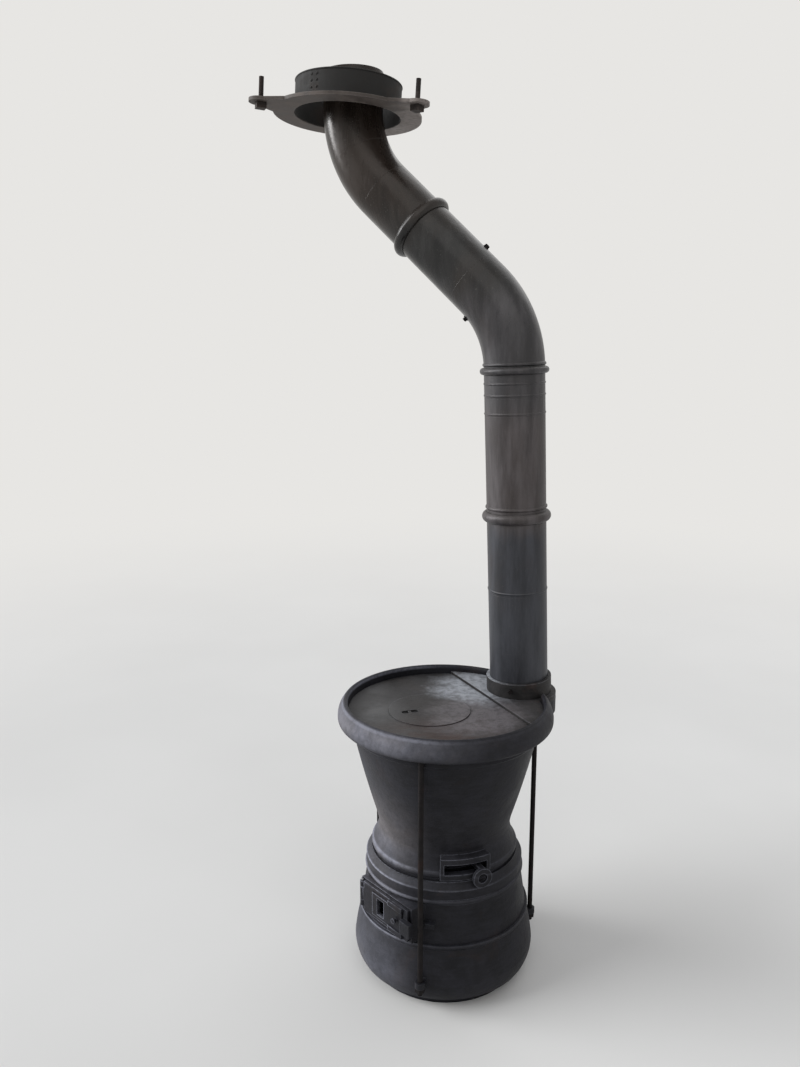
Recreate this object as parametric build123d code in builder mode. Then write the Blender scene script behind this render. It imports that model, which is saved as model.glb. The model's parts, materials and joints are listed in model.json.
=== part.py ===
from build123d import *
import os
from math import cos, sin, tan, radians, degrees, sqrt, asin, atan2

# Coal stove of a caboose, with its smoke pipe and the ceiling ring that the pipe passes.
# Millimetres. The origin is on the floor, on the stove's axis. +Z is up, +X is towards the
# wall behind the stove, -X is the aisle, and the car runs along Y.
# Azimuths turn counter-clockwise from +X, seen from above.

os.makedirs("parts", exist_ok=True)

# Clearances and walls
face_gap = 0.3            # between pieces that lie on each other
pin_fit = 0.1             # radial, round hinge pins
slide_fit = 0.5           # draft slide in its rails
wall = 8.0                # thickness of the stove's castings

# Base casting
plinth_r = 196.0
plinth_h = 26.0
flange_r = 222.0          # lower lip of the bulge
bulge_r = 235.0
bulge_z = 76.0
foot_top_r = 218.0        # top of the bulge, under the ledge
ledge_r = 222.0
ledge_h = 8.0
base_h = 176.0
floor_plate_t = 6.0       # plate that closes the base from below
floor_plate_in = 1.5      # its edge inside the plinth's

# Ash section, with the ash door on a flat frame
ash_bottom_r = 216.0
ash_top_r = 203.0
ash_h = 112.0
bead_out = 4.0            # how far the cast beads stand out
bead_h = 12.0

# Waist ring, with the shelf that carries the grate
waist_r = 204.0
waist_h = 42.0
shelf_in_r = 136.0
shelf_t = 12.0

# Fire pot
pot_foot_r = 187.0
neck_r = 171.0
neck_rise = 68.0          # height of the narrowest place above the pot's lower edge
pot_mid_r = 207.5
pot_top_r = 230.0
pot_h = 330.0
pot_flange_out = 10.0     # flange under the rim, outside the pot's top
pot_flange_h = 9.0

# Rim and top plate
rod_clear = 15.0          # from the base's bulge to the tie rods' middle
rod_gap = 3.5             # between a tie rod and the pot's flange
rod_r = 6.5               # radius of a tie rod
rim_lip = 9.0             # flat underside outside the rods' middle
rim_roll = 16.0           # how far the rolled edge stands out
rim_h = 69.0
roll_rise = 12.0          # underside of the rolled edge above the pot's flange
plate_drop = 24.0         # top plate below the rim's crest
plate_t = 8.0
ledge_in = 12.0           # width of the ledge that carries the top plate

# Lid in the top plate
lid_x = -45.0
lid_y = -8.0
lid_r = 104.0
lid_seat = 7.0
lid_t = 6.0

# Flue casting at the back of the top
flue_r = 232.0            # from the stove's axis to the flue
flue_az = 12.5
flue_boss_r = 98.0        # round the flue, outside the rim
chord_d = 130.0           # straight front edge of the flue casting
chord_az = 8.5
flue_plate_t = 15.0
collar_h = 42.0
collar_t = 9.0

# Smoke pipe
pipe_r = 76.2
pipe_t = 1.2
lap = 34.0                # crimped end inside the piece below
pipe_fit = 0.4
riser_lean = 0.042        # towards the aisle, per unit of height
bend_r = 270.0
rise_1 = 273.0            # lengths of the riser, by height
rise_2 = 187.0
rise_3 = 271.0
rise_4 = 44.0
rise_to_bend = 186.0      # from the last joint to where the riser's line meets the oblique run
run_x = -331.1            # from the lower bend's corner to the upper bend's corner
run_y = 291.8
run_z = 412.0
oblique_joint = 355.0     # big bead, from the lower bend's corner
foot_short = 9.0          # the upper bend's piece starts this far before its arc
foot_low = 17.0           # and the lower bend's
elbow_end = 36.0          # straight end of a bend's piece, which takes the next crimped end
outlet_h = 52.0           # last length, above the upper elbow
socket_r = 77.0           # its widened end, which takes the next length
socket_h = 38.0
bell_out = 12.0           # the big rolled beads
bell_half = 14.0
collar_out = 10.0         # the bead under the lower bend
collar_half = 8.5
bead_small = 3.0
bead_small_half = 4.5

# Ceiling ring, tilted with the arched ceiling
ring_dx = -14.0           # ring's middle from the upright pipe's axis
ring_dy = 3.0
ring_rise = 102.0         # ring's underside above the upper bend's corner
ring_slope = 0.06
ring_r = 190.0
ring_hole_r = 136.0
ring_t = 8.0
ear_circle_r = 225.0
ear_r = 30.0
ear_root = 82.0
sleeve_t = 2.0
sleeve_h = 75.0
sleeve_flange = 14.0
spider_rise = 40.0
spider_h = 20.0
spider_arm_t = 5.0
spider_az0 = 90.0
bolt_r = 6.0
bolt_shoulder = 1.0       # the shank is this much thicker inside the ring
bolt_head = 24.0
bolt_head_h = 14.0
bolt_len = 60.0

# Ash door, hinge, rails, draft slide; u runs along the door towards its handle
door_az = 204.0
door_out = 2.5            # frame face outside the ash section's mean radius
frame_u0 = -80.0
frame_u1 = 114.0
frame_low = 10.0          # frame above the ash section's lower edge
frame_high = 12.0         # frame below its upper edge
leaf_u0 = -64.0
leaf_u1 = 106.0
leaf_margin = 4.0         # leaf inside the frame, top and bottom
leaf_t = 7.0
mouth_margin = 6.0        # leaf over the opening's edge
hinge_u = -73.0
pin_r = 3.0
knuckle_t = 3.5
knuckle_low = 31.5        # leaf's knuckle above the frame's lower edge
knuckle_high = 23.0       # and below its upper edge
frame_knuckle = 16.0
knuckle_gap = 0.5
window_u = 6.0
window_w = 26.0
window_margin = 8.5       # slide above and below the window
rail_u0 = 38.0
rail_u1 = 90.0
rail_h = 13.0
rail_lip = 3.0
rail_t = 2.7
slide_t = 3.0
slide_u0 = -26.0
slide_u1 = 88.0
groove_u0 = -44.0         # recess in which the slide runs
knob_u = 66.0
handle_u0 = 93.0
handle_u1 = 127.0
handle_h = 34.0
handle_out = 14.5

# Grate with its shaker bar
grate_r = 148.0
grate_t = 12.0
shaker_az = 277.0
shaker_w = 14.0
shaker_t = 12.0
shaker_rise = 27.0        # underside of the bar above the shelf
eye_r = 25.0
eye_hole_r = 12.0
eye_t = 8.0
slot_az0 = 251.0
slot_az1 = 283.5
slot_clear = 7.0
slot_lip = 3.0            # degrees of frame beyond the slot's ends
slot_bar = 15.0           # height of the frame above and below the slot
slot_out = 8.0            # frame in front of the pot's foot

# Tie rods
rod_az0 = 238.0
rod_count = 3
lug_z = 80.0
lug_t = 15.0
lug_w = 26.0
nut_r = 11.5
nut_h = 12.0
rod_tail = 8.0
rod_seat = 5.0

# Heights that follow
ash_z = base_h
waist_z = ash_z + ash_h
pot_z = waist_z + waist_h
rim_z = pot_z + pot_h
crest_z = rim_z + rim_h
roll_z = rim_z + roll_rise
frame_z0 = ash_z + frame_low
frame_z1 = waist_z - frame_high
knuckle_z0 = frame_z0 + knuckle_low
knuckle_z1 = frame_z1 - knuckle_high
plate_top_z = crest_z - plate_drop
plate_z = plate_top_z - plate_t
pot_flange_r = pot_top_r + pot_flange_out
rod_circle = max(bulge_r + rod_clear, pot_flange_r + rod_gap + rod_r)
rim_flat_r = rod_circle + rim_lip
rim_r = rim_flat_r + rim_roll
plate_r = rim_r - 27.0
ledge_r_in = plate_r - ledge_in


def radial_plane(azimuth):
    """Plane through the stove's axis: local x is the radius at this azimuth, local y is up."""
    a = radians(azimuth)
    return Plane(origin=(0, 0, 0), x_dir=(cos(a), sin(a), 0), z_dir=(sin(a), -cos(a), 0))


def outward_plane(azimuth, distance, height=0.0):
    """Plane that faces outwards: local x runs along the wall, local y is up."""
    a = radians(azimuth)
    return Plane(
        origin=(distance * cos(a), distance * sin(a), height),
        x_dir=(-sin(a), cos(a), 0),
        z_dir=(cos(a), sin(a), 0),
    )


def axis_plane(origin, direction):
    """Plane that holds a pipe's axis: local y runs along it, local x is the radius."""
    along = Vector(direction).normalized()
    across = along.cross(Vector(0, 1, 0)).normalized()
    return Plane(origin=origin, x_dir=across, z_dir=across.cross(along))


# Base casting: a plinth on the floor plate, the bulge above it and a ledge for the ash section
rod_azimuths = [rod_az0 + 360.0 / rod_count * i for i in range(rod_count)]
bulge_side_r = (bulge_r + foot_top_r) / 2 + 2.0
bulge_side_z = (bulge_z + base_h - ledge_h - 6) / 2
with BuildPart() as base:
    with BuildSketch(Plane.XZ):
        with BuildLine():
            Polyline(
                (0, floor_plate_t),
                (plinth_r, floor_plate_t),
                (plinth_r, plinth_h),
                (flange_r, plinth_h + 4),
            )
            ThreePointArc((flange_r, plinth_h + 4), (bulge_r - 3.5, (plinth_h + 4 + bulge_z) / 2 - 2), (bulge_r, bulge_z))
            ThreePointArc(
                (bulge_r, bulge_z), (bulge_side_r, bulge_side_z), (foot_top_r, base_h - ledge_h - 6)
            )
            Polyline(
                (foot_top_r, base_h - ledge_h - 6),
                (ledge_r, base_h - ledge_h),
                (ledge_r, base_h),
                (0, base_h),
                (0, floor_plate_t),
            )
        make_face()
    revolve(axis=Axis.Z)
    for azimuth in rod_azimuths:
        with BuildSketch(Plane.XY.offset(lug_z)):
            with Locations(Rot(0, 0, azimuth)):
                with Locations((rod_circle - 30, 0)):
                    Rectangle(60, lug_w)
                with Locations((rod_circle, 0)):
                    Circle(lug_w / 2)
        extrude(amount=lug_t)
    with BuildSketch(Plane.XZ):
        Polygon(
            [
                (0, floor_plate_t),
                (plinth_r - wall, floor_plate_t),
                (plinth_r - wall, plinth_h + 2 * wall - 4),
                (flange_r - wall, plinth_h + 4 + wall),
                (bulge_r - wall, bulge_z),
                (bulge_side_r - wall, bulge_side_z),
                (foot_top_r - wall, base_h - ledge_h - 6),
                (foot_top_r - wall, base_h),
                (0, base_h),
            ]
        )
    revolve(axis=Axis.Z, mode=Mode.SUBTRACT)
    for azimuth in rod_azimuths:
        a = radians(azimuth)
        with BuildSketch(Plane.XY.offset(lug_z)):
            with Locations((rod_circle * cos(a), rod_circle * sin(a))):
                Circle(rod_r + face_gap)
        extrude(amount=lug_t, mode=Mode.SUBTRACT)
base.part.label = "base"

# Floor plate under the plinth
with BuildPart() as floor_plate:
    with BuildSketch(Plane.XY):
        Circle(plinth_r - floor_plate_in)
    extrude(amount=floor_plate_t)
floor_plate.part.label = "floor_plate"

# Ash section: a cone with a bead at its top, the flat door frame and its hinge knuckles
door_d = (ash_bottom_r + ash_top_r) / 2 + door_out
frame_plane = outward_plane(door_az, door_d)
leaf_plane = outward_plane(door_az, door_d + slide_fit)
leaf_z0 = frame_z0 + leaf_margin
leaf_z1 = frame_z1 - leaf_margin
mouth_u0 = leaf_u0 + mouth_margin
mouth_u1 = leaf_u1 - 2 * mouth_margin
mouth_z0 = leaf_z0 + mouth_margin + 4
mouth_z1 = leaf_z1 - mouth_margin - 4
pin_out = slide_fit + leaf_t / 2
knuckle_r = pin_r + knuckle_t
door_a = radians(door_az)
pin_x = (door_d + pin_out) * cos(door_a) - hinge_u * sin(door_a)
pin_y = (door_d + pin_out) * sin(door_a) + hinge_u * cos(door_a)
frame_knuckles = [
    # lower end, upper end
    (knuckle_z0 - knuckle_gap - frame_knuckle, knuckle_z0 - knuckle_gap),
    (knuckle_z1 + knuckle_gap, knuckle_z1 + knuckle_gap + frame_knuckle),
]
stop_az = 242.0
stop_z = (frame_z0 + frame_z1) / 2 - 3
with BuildPart() as ash_section:
    with BuildSketch(Plane.XZ):
        with BuildLine():
            Polyline(
                (0, ash_z),
                (ash_bottom_r, ash_z),
                (ash_top_r, waist_z - bead_h - 12),
                (ash_top_r, waist_z - bead_h),
            )
            ThreePointArc(
                (ash_top_r, waist_z - bead_h),
                (ash_top_r + bead_out, waist_z - bead_h / 2),
                (ash_top_r, waist_z),
            )
            Polyline((ash_top_r, waist_z), (0, waist_z), (0, ash_z))
        make_face()
    revolve(axis=Axis.Z)
    with BuildSketch(frame_plane):
        with Locations(((frame_u0 + frame_u1) / 2, (frame_z0 + frame_z1) / 2)):
            Rectangle(frame_u1 - frame_u0, frame_z1 - frame_z0)
    extrude(amount=-80)
    with BuildSketch(frame_plane):
        with Locations(((frame_u0 + frame_u1) / 2, (frame_z0 + frame_z1) / 2)):
            Rectangle(frame_u1 - frame_u0, frame_z1 - frame_z0)
    extrude(amount=20, mode=Mode.SUBTRACT)
    for low, high in frame_knuckles:
        with BuildSketch(Plane.XY.offset(low)):
            with Locations((pin_x, pin_y)):
                Circle(knuckle_r)
        extrude(amount=high - low)
    with BuildSketch(outward_plane(stop_az, ash_top_r - 12, stop_z)):
        Rectangle(24, 12)
    extrude(amount=32)
    with BuildSketch(Plane.XZ):
        Polygon(
            [
                (0, ash_z),
                (ash_bottom_r - wall, ash_z),
                (ash_top_r - wall, waist_z - bead_h - 12),
                (ash_top_r - wall, waist_z),
                (0, waist_z),
            ]
        )
    revolve(axis=Axis.Z, mode=Mode.SUBTRACT)
    with BuildSketch(frame_plane.offset(5)):
        with Locations(((mouth_u0 + mouth_u1) / 2, (mouth_z0 + mouth_z1) / 2)):
            Rectangle(mouth_u1 - mouth_u0, mouth_z1 - mouth_z0)
    extrude(amount=-80, mode=Mode.SUBTRACT)
    with BuildSketch(Plane.XY.offset(knuckle_z0 - knuckle_gap)):
        with Locations((pin_x, pin_y)):
            Circle(knuckle_r + 1)
    extrude(amount=knuckle_z1 - knuckle_z0 + 2 * knuckle_gap, mode=Mode.SUBTRACT)
    with BuildSketch(Plane.XY.offset(frame_knuckles[0][0])):
        with Locations((pin_x, pin_y)):
            Circle(pin_r + pin_fit)
    extrude(amount=frame_knuckles[1][1] - frame_knuckles[0][0], mode=Mode.SUBTRACT)
ash_section.part.label = "ash_section"

# Ash door: the leaf, its knuckle, the draft window, two lipped rails and the handle
slide_mid = (leaf_z0 + leaf_z1) / 2
slide_h = leaf_z1 - leaf_z0 - 2 * (rail_h - rail_lip) - 2 * slide_fit
window_h = slide_h - 2 * window_margin
slide_z0 = slide_mid - slide_h / 2
slide_z1 = slide_mid + slide_h / 2
slide_w = leaf_t + face_gap
rails = [
    # outer edge, groove edge, lip edge
    (slide_z1 - rail_lip + rail_h, slide_z1 + slide_fit, slide_z1 - rail_lip),
    (slide_z0 + rail_lip - rail_h, slide_z0 - slide_fit, slide_z0 + rail_lip),
]
groove_w = slide_w + slide_t + slide_fit
with BuildPart() as ash_door:
    with BuildSketch(leaf_plane):
        with Locations(((leaf_u0 + leaf_u1) / 2, (leaf_z0 + leaf_z1) / 2)):
            Rectangle(leaf_u1 - leaf_u0, leaf_z1 - leaf_z0)
    extrude(amount=leaf_t)
    with BuildSketch(leaf_plane):
        with Locations(((hinge_u + leaf_u0 + 4) / 2, (knuckle_z0 + knuckle_z1) / 2)):
            Rectangle(leaf_u0 + 4 - hinge_u, knuckle_z1 - knuckle_z0)
    extrude(amount=leaf_t)
    with BuildSketch(Plane.XY.offset(knuckle_z0)):
        with Locations((pin_x, pin_y)):
            Circle(knuckle_r)
    extrude(amount=knuckle_z1 - knuckle_z0)
    for outer, groove, lip in rails:
        with BuildSketch(leaf_plane.offset(leaf_t)):
            with Locations(((rail_u0 + rail_u1) / 2, (outer + lip) / 2)):
                Rectangle(rail_u1 - rail_u0, abs(outer - lip))
        extrude(amount=groove_w - leaf_t + rail_t)
    with BuildSketch(leaf_plane.offset(leaf_t)):
        with Locations(((handle_u0 + handle_u1) / 2, slide_mid)):
            Rectangle(handle_u1 - handle_u0, handle_h)
    extrude(amount=handle_out)
    with BuildSketch(leaf_plane.offset(leaf_t)):
        with Locations(((groove_u0 + rail_u1) / 2, slide_mid)):
            Rectangle(rail_u1 - groove_u0, slide_h + 2 * slide_fit)
    extrude(amount=groove_w - leaf_t, mode=Mode.SUBTRACT)
    with BuildSketch(leaf_plane):
        with Locations((window_u, slide_mid)):
            Rectangle(window_w, window_h)
    extrude(amount=leaf_t, mode=Mode.SUBTRACT)
    with BuildSketch(Plane.XY.offset(knuckle_z0)):
        with Locations((pin_x, pin_y)):
            Circle(pin_r + pin_fit)
    extrude(amount=knuckle_z1 - knuckle_z0, mode=Mode.SUBTRACT)
ash_door.part.label = "ash_door"

# Hinge pin with a head on the upper knuckle
with BuildPart() as door_pin:
    with BuildSketch(Plane.XY.offset(frame_knuckles[0][0] - 3)):
        with Locations((pin_x, pin_y)):
            Circle(pin_r)
    extrude(amount=frame_knuckles[1][1] - frame_knuckles[0][0] + 3)
    with BuildSketch(Plane.XY.offset(frame_knuckles[1][1])):
        with Locations((pin_x, pin_y)):
            Circle(pin_out - face_gap)
    extrude(amount=3)
door_pin.part.label = "door_pin"

# Draft slide with its own window, which closes the leaf's window when it is pushed to the hinge
with BuildPart() as draft_slide:
    with BuildSketch(leaf_plane.offset(slide_w)):
        with Locations(((slide_u0 + slide_u1) / 2, slide_mid)):
            Rectangle(slide_u1 - slide_u0, slide_h)
        with Locations((window_u, slide_mid)):
            Rectangle(window_w, window_h, mode=Mode.SUBTRACT)
    extrude(amount=slide_t)
    with BuildSketch(leaf_plane.offset(slide_w + slide_t)):
        with Locations((knob_u, slide_mid)):
            Circle(4)
    extrude(amount=6)
    with BuildSketch(leaf_plane.offset(slide_w + slide_t + 5)):
        with Locations((knob_u, slide_mid)):
            Circle(7)
    extrude(amount=5)
draft_slide.part.label = "draft_slide"

# Waist ring: the band between the two beads, with the shelf that carries the grate
with BuildPart() as waist_ring:
    with BuildSketch(Plane.XZ):
        Polygon(
            [
                (waist_r - wall, waist_z),
                (waist_r, waist_z),
                (waist_r, waist_z + 0.58 * waist_h),
                (pot_foot_r + 3, pot_z - 2),
                (pot_foot_r + 3, pot_z),
                (shelf_in_r, pot_z),
                (shelf_in_r, pot_z - shelf_t),
                (waist_r - wall, pot_z - shelf_t - 14),
            ]
        )
    revolve(axis=Axis.Z)
waist_ring.part.label = "waist_ring"

# Fire pot: bead, neck, inverted cone and top flange, with the shaker's framed slot
neck_z = pot_z + neck_rise
bar_z = pot_z + shaker_rise
slot_z0 = bar_z - slot_clear
slot_z1 = bar_z + shaker_t + slot_clear
frame_out_r = pot_foot_r + slot_out
cut_in_r = neck_r - 2 * wall
cut_out_r = frame_out_r + wall
with BuildPart() as fire_pot:
    with BuildSketch(Plane.XZ):
        with BuildLine():
            Line((0, pot_z), (pot_foot_r - 2, pot_z))
            Line((pot_foot_r - 2, pot_z), (pot_foot_r - 2, pot_z + 6))
            ThreePointArc(
                (pot_foot_r - 2, pot_z + 6), (pot_foot_r + 3, pot_z + 14), (pot_foot_r - 2, pot_z + 23)
            )
            ThreePointArc(
                (pot_foot_r - 2, pot_z + 23),
                (neck_r + 5, neck_z - 24),
                (neck_r, neck_z),
            )
            ThreePointArc(
                (neck_r, neck_z),
                (neck_r + 2.6, neck_z + 20),
                (neck_r + 9, neck_z + 44),
            )
            ThreePointArc(
                (neck_r + 9, neck_z + 44),
                (pot_mid_r, (neck_z + 44 + rim_z) / 2 - 15),
                (pot_top_r, rim_z - 36),
            )
            Polyline(
                (pot_top_r, rim_z - 36),
                (pot_top_r + 5, rim_z - pot_flange_h - 6),
                (pot_flange_r, rim_z - pot_flange_h),
                (pot_flange_r, rim_z),
                (0, rim_z),
                (0, pot_z),
            )
        make_face()
    revolve(axis=Axis.Z)
    with BuildSketch(radial_plane(slot_az0 - slot_lip)):
        with Locations(((neck_r - 4 + frame_out_r) / 2, (slot_z0 + slot_z1) / 2)):
            Rectangle(frame_out_r - neck_r + 4, slot_z1 - slot_z0 + 2 * slot_bar)
    revolve(axis=Axis.Z, revolution_arc=slot_az1 - slot_az0 + 2 * slot_lip)
    with BuildSketch(Plane.XZ):
        Polygon(
            [
                (0, pot_z),
                (pot_foot_r - wall - 2, pot_z),
                (pot_foot_r - wall - 2, pot_z + 20),
                (neck_r - wall, neck_z - 12),
                (neck_r - wall, neck_z + 14),
                (neck_r + 9 - wall, neck_z + 44),
                (pot_mid_r - wall, (neck_z + 44 + rim_z) / 2 - 15),
                (pot_top_r - wall, rim_z - 36),
                (pot_top_r - wall + 4, rim_z),
                (0, rim_z),
            ]
        )
    revolve(axis=Axis.Z, mode=Mode.SUBTRACT)
    with BuildSketch(radial_plane(slot_az0)):
        with Locations(((cut_in_r + cut_out_r) / 2, (slot_z0 + slot_z1) / 2)):
            Rectangle(cut_out_r - cut_in_r, slot_z1 - slot_z0)
    revolve(axis=Axis.Z, revolution_arc=slot_az1 - slot_az0, mode=Mode.SUBTRACT)
fire_pot.part.label = "fire_pot"

# Grate: a slotted disc on the shelf, with the bar and eye that shake it
eye_d = frame_out_r + 12
with BuildPart() as grate:
    with BuildSketch(Plane.XY.offset(pot_z)):
        Circle(grate_r)
    extrude(amount=grate_t)
    with BuildSketch(Plane.XY.offset(pot_z)):
        with Locations(Rot(0, 0, shaker_az)):
            for row in range(-3, 4):
                length = 2 * sqrt((grate_r - 18) ** 2 - (row * 34.0) ** 2)
                with Locations((0, row * 34.0)):
                    SlotOverall(length, 15)
    extrude(amount=grate_t, mode=Mode.SUBTRACT)
    with BuildSketch(Plane.XY.offset(pot_z + grate_t - 2)):
        with Locations(Rot(0, 0, shaker_az)):
            with Locations((grate_r - 22, 0)):
                Rectangle(28, shaker_w + 22)
    extrude(amount=bar_z - pot_z - grate_t + 2 + 1)
    with BuildSketch(Plane.XY.offset(bar_z)):
        with Locations(Rot(0, 0, shaker_az)):
            with Locations(((grate_r - 36 + eye_d + 2) / 2, 0)):
                Rectangle(eye_d + 2 - grate_r + 36, shaker_w)
    extrude(amount=shaker_t)
    with BuildSketch(outward_plane(shaker_az, eye_d, bar_z + shaker_t - eye_r)):
        Circle(eye_r)
        Circle(eye_hole_r, mode=Mode.SUBTRACT)
    extrude(amount=eye_t)
grate.part.label = "grate"

# Top rim: the rolled edge, the ledge for the top plate and the boss round the flue
flue_x = flue_r * cos(radians(flue_az))
flue_y = flue_r * sin(radians(flue_az))
rim_in_r = pot_top_r
rods = []                 # x, y and the underside that each tie rod meets: the boss or the roll
for azimuth in rod_azimuths:
    rod_x = rod_circle * cos(radians(azimuth))
    rod_y = rod_circle * sin(radians(azimuth))
    under_boss = sqrt((rod_x - flue_x) ** 2 + (rod_y - flue_y) ** 2) < flue_boss_r + rod_r
    rods.append((rod_x, rod_y, rim_z if under_boss else roll_z))
with BuildPart() as top_rim:
    with BuildSketch(Plane.XZ):
        with BuildLine():
            Polyline(
                (0, rim_z), (pot_flange_r, rim_z), (pot_flange_r, roll_z), (rim_flat_r, roll_z)
            )
            ThreePointArc((rim_flat_r, roll_z), (rim_r - 3.5, roll_z + 5), (rim_r, roll_z + 15))
            ThreePointArc(
                (rim_r, roll_z + 15), (rim_r - 2.6, roll_z + 35), (rim_r - 13, crest_z - 4)
            )
            ThreePointArc(
                (rim_r - 13, crest_z - 4), (rim_r - 19, crest_z), (rim_r - 25, crest_z - 5)
            )
            Polyline(
                (rim_r - 25, crest_z - 5),
                (plate_r + face_gap, plate_top_z),
                (plate_r + face_gap, plate_z),
                (0, plate_z),
                (0, rim_z),
            )
        make_face()
    revolve(axis=Axis.Z)
    with BuildSketch(Plane.XY.offset(rim_z)):
        with Locations((flue_x, flue_y)):
            Circle(flue_boss_r)
    extrude(amount=plate_z - rim_z)
    with BuildSketch(Plane.XY.offset(plate_z)):
        with Locations((flue_x, flue_y)):
            Circle(flue_boss_r)
    extrude(amount=rim_h, mode=Mode.SUBTRACT)
    with BuildSketch(Plane.XY.offset(rim_z + wall)):
        with Locations((flue_x, flue_y)):
            Circle(flue_boss_r - wall)
    extrude(amount=rim_h, mode=Mode.SUBTRACT)
    with BuildSketch(Plane.XZ):
        Polygon(
            [
                (0, rim_z),
                (rim_in_r, rim_z),
                (rim_in_r, plate_z - 10),
                (ledge_r_in, plate_z - 6),
                (ledge_r_in, plate_z),
                (0, plate_z),
            ]
        )
    revolve(axis=Axis.Z, mode=Mode.SUBTRACT)
    for rod_x, rod_y, rod_head in rods:
        with BuildSketch(Plane.XY.offset(rod_head)):
            with Locations((rod_x, rod_y)):
                Circle(rod_r + face_gap)
        extrude(amount=rod_seat + face_gap, mode=Mode.SUBTRACT)
top_rim.part.label = "top_rim"

# Top plate: the disc in front of the flue casting, with the seat for the lid
chord_a = radians(chord_az)
lid_hole_r = lid_r - lid_seat
with BuildPart() as top_plate:
    with BuildSketch(Plane.XY.offset(plate_z)):
        Circle(plate_r)
        with Locations(Rot(0, 0, chord_az)):
            with Locations((chord_d + plate_r, 0)):
                Rectangle(2 * plate_r, 2 * plate_r, mode=Mode.SUBTRACT)
        with Locations((lid_x, lid_y)):
            Circle(lid_hole_r, mode=Mode.SUBTRACT)
    extrude(amount=plate_t)
    with BuildSketch(Plane.XY.offset(plate_top_z - plate_t / 2)):
        with Locations((lid_x, lid_y)):
            Circle(lid_r + slide_fit)
    extrude(amount=plate_t, mode=Mode.SUBTRACT)
top_plate.part.label = "top_plate"

# Lid with a plug below and a lifter pocket on top
lid_z = plate_top_z - plate_t / 2
with BuildPart() as lid:
    with BuildSketch(Plane.XY.offset(lid_z)):
        with Locations((lid_x, lid_y)):
            Circle(lid_r)
    extrude(amount=lid_t)
    with BuildSketch(Plane.XY.offset(plate_z)):
        with Locations((lid_x, lid_y)):
            Circle(lid_hole_r - 2)
    extrude(amount=lid_z - plate_z)
    with BuildSketch(Plane.XY.offset(lid_z + lid_t - 5)):
        with Locations((lid_x - lid_r / 2, lid_y)):
            SlotOverall(44, 18)
    extrude(amount=5, mode=Mode.SUBTRACT)
    with BuildSketch(Plane.XY.offset(lid_z + lid_t - 5)):
        with Locations((lid_x - lid_r / 2, lid_y)):
            Rectangle(7, 18)
    extrude(amount=4)
lid.part.label = "lid"

# Lines of the smoke pipe
riser_dir = Vector(-riser_lean, 0, 1).normalized()
collar_foot = Vector(flue_x, flue_y, plate_z + flue_plate_t)


def on_riser(height):
    """Point of the riser's axis at a height."""
    return collar_foot + riser_dir * ((height - collar_foot.Z) / riser_dir.Z)


joint_z_1 = collar_foot.Z + rise_1
joint_z_2 = joint_z_1 + rise_2
joint_z_3 = joint_z_2 + rise_3
joint_z_4 = joint_z_3 + rise_4
low_corner = on_riser(joint_z_4 + rise_to_bend)
high_corner = low_corner + Vector(run_x, run_y, run_z)
oblique = (high_corner - low_corner).normalized()
up = Vector(0, 0, 1)
low_angle = radians(riser_dir.get_angle(oblique))
high_angle = radians(oblique.get_angle(up))
low_tangent = bend_r * tan(low_angle / 2)
high_tangent = bend_r * tan(high_angle / 2)
oblique_point = low_corner + oblique * oblique_joint
print("oblique run", round((high_corner - low_corner).length - low_tangent - high_tangent, 1))
print("bends", round(degrees(low_angle), 1), round(degrees(high_angle), 1))

# Flue casting: the raised back of the top, with the collar that leans with the riser
pipe_bore = pipe_r + pipe_fit
riser_plane = Plane(
    origin=collar_foot, x_dir=Vector(0, 1, 0).cross(riser_dir).normalized(), z_dir=riser_dir
)
with BuildPart() as flue_casting:
    with BuildSketch(Plane.XY.offset(plate_z)):
        Circle(plate_r)
        with Locations((flue_x, flue_y)):
            Circle(flue_boss_r - face_gap)
        with Locations(Rot(0, 0, chord_az)):
            with Locations((chord_d + face_gap - 2 * rim_r, 0)):
                Rectangle(4 * rim_r, 4 * rim_r, mode=Mode.SUBTRACT)
    extrude(amount=flue_plate_t)
    with BuildSketch(riser_plane.offset(-5)):
        Circle(pipe_bore + collar_t)
    extrude(amount=collar_h + 5)
    with BuildSketch(riser_plane.offset(6)):
        Circle(pipe_bore)
    extrude(amount=collar_h, mode=Mode.SUBTRACT)
    with BuildSketch(riser_plane.offset(-30)):
        Circle(pipe_r - 8)
    extrude(amount=60, mode=Mode.SUBTRACT)
flue_casting.part.label = "flue_casting"

# Smoke pipe: straight lengths, each with its crimped end inside the one below
pipe_in = pipe_r - pipe_t
male_out = pipe_in - pipe_fit
male_in = male_out - pipe_t


def crimped_end(origin, direction):
    """The smaller end that slips into the piece below, with the web that joins it."""
    with BuildPart() as end:
        with BuildSketch(axis_plane(origin, direction)):
            Polygon(
                [
                    (male_in, -lap),
                    (male_out, -lap),
                    (male_out, 0),
                    (pipe_r, 0),
                    (pipe_r, 3),
                    (male_in, 3),
                ]
            )
        revolve(axis=Axis(origin, direction))
    return end.part


def rolled_bead(origin, direction, out, half):
    """A half-round bead that stands out of a pipe's wall."""
    with BuildPart() as bead:
        with BuildSketch(axis_plane(origin, direction)):
            with BuildLine():
                Line((pipe_r - 0.6, -half), (pipe_r - 0.6, half))
                ThreePointArc((pipe_r - 0.6, half), (pipe_r + out, 0), (pipe_r - 0.6, -half))
            make_face()
        revolve(axis=Axis(origin, direction))
    return bead.part


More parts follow.
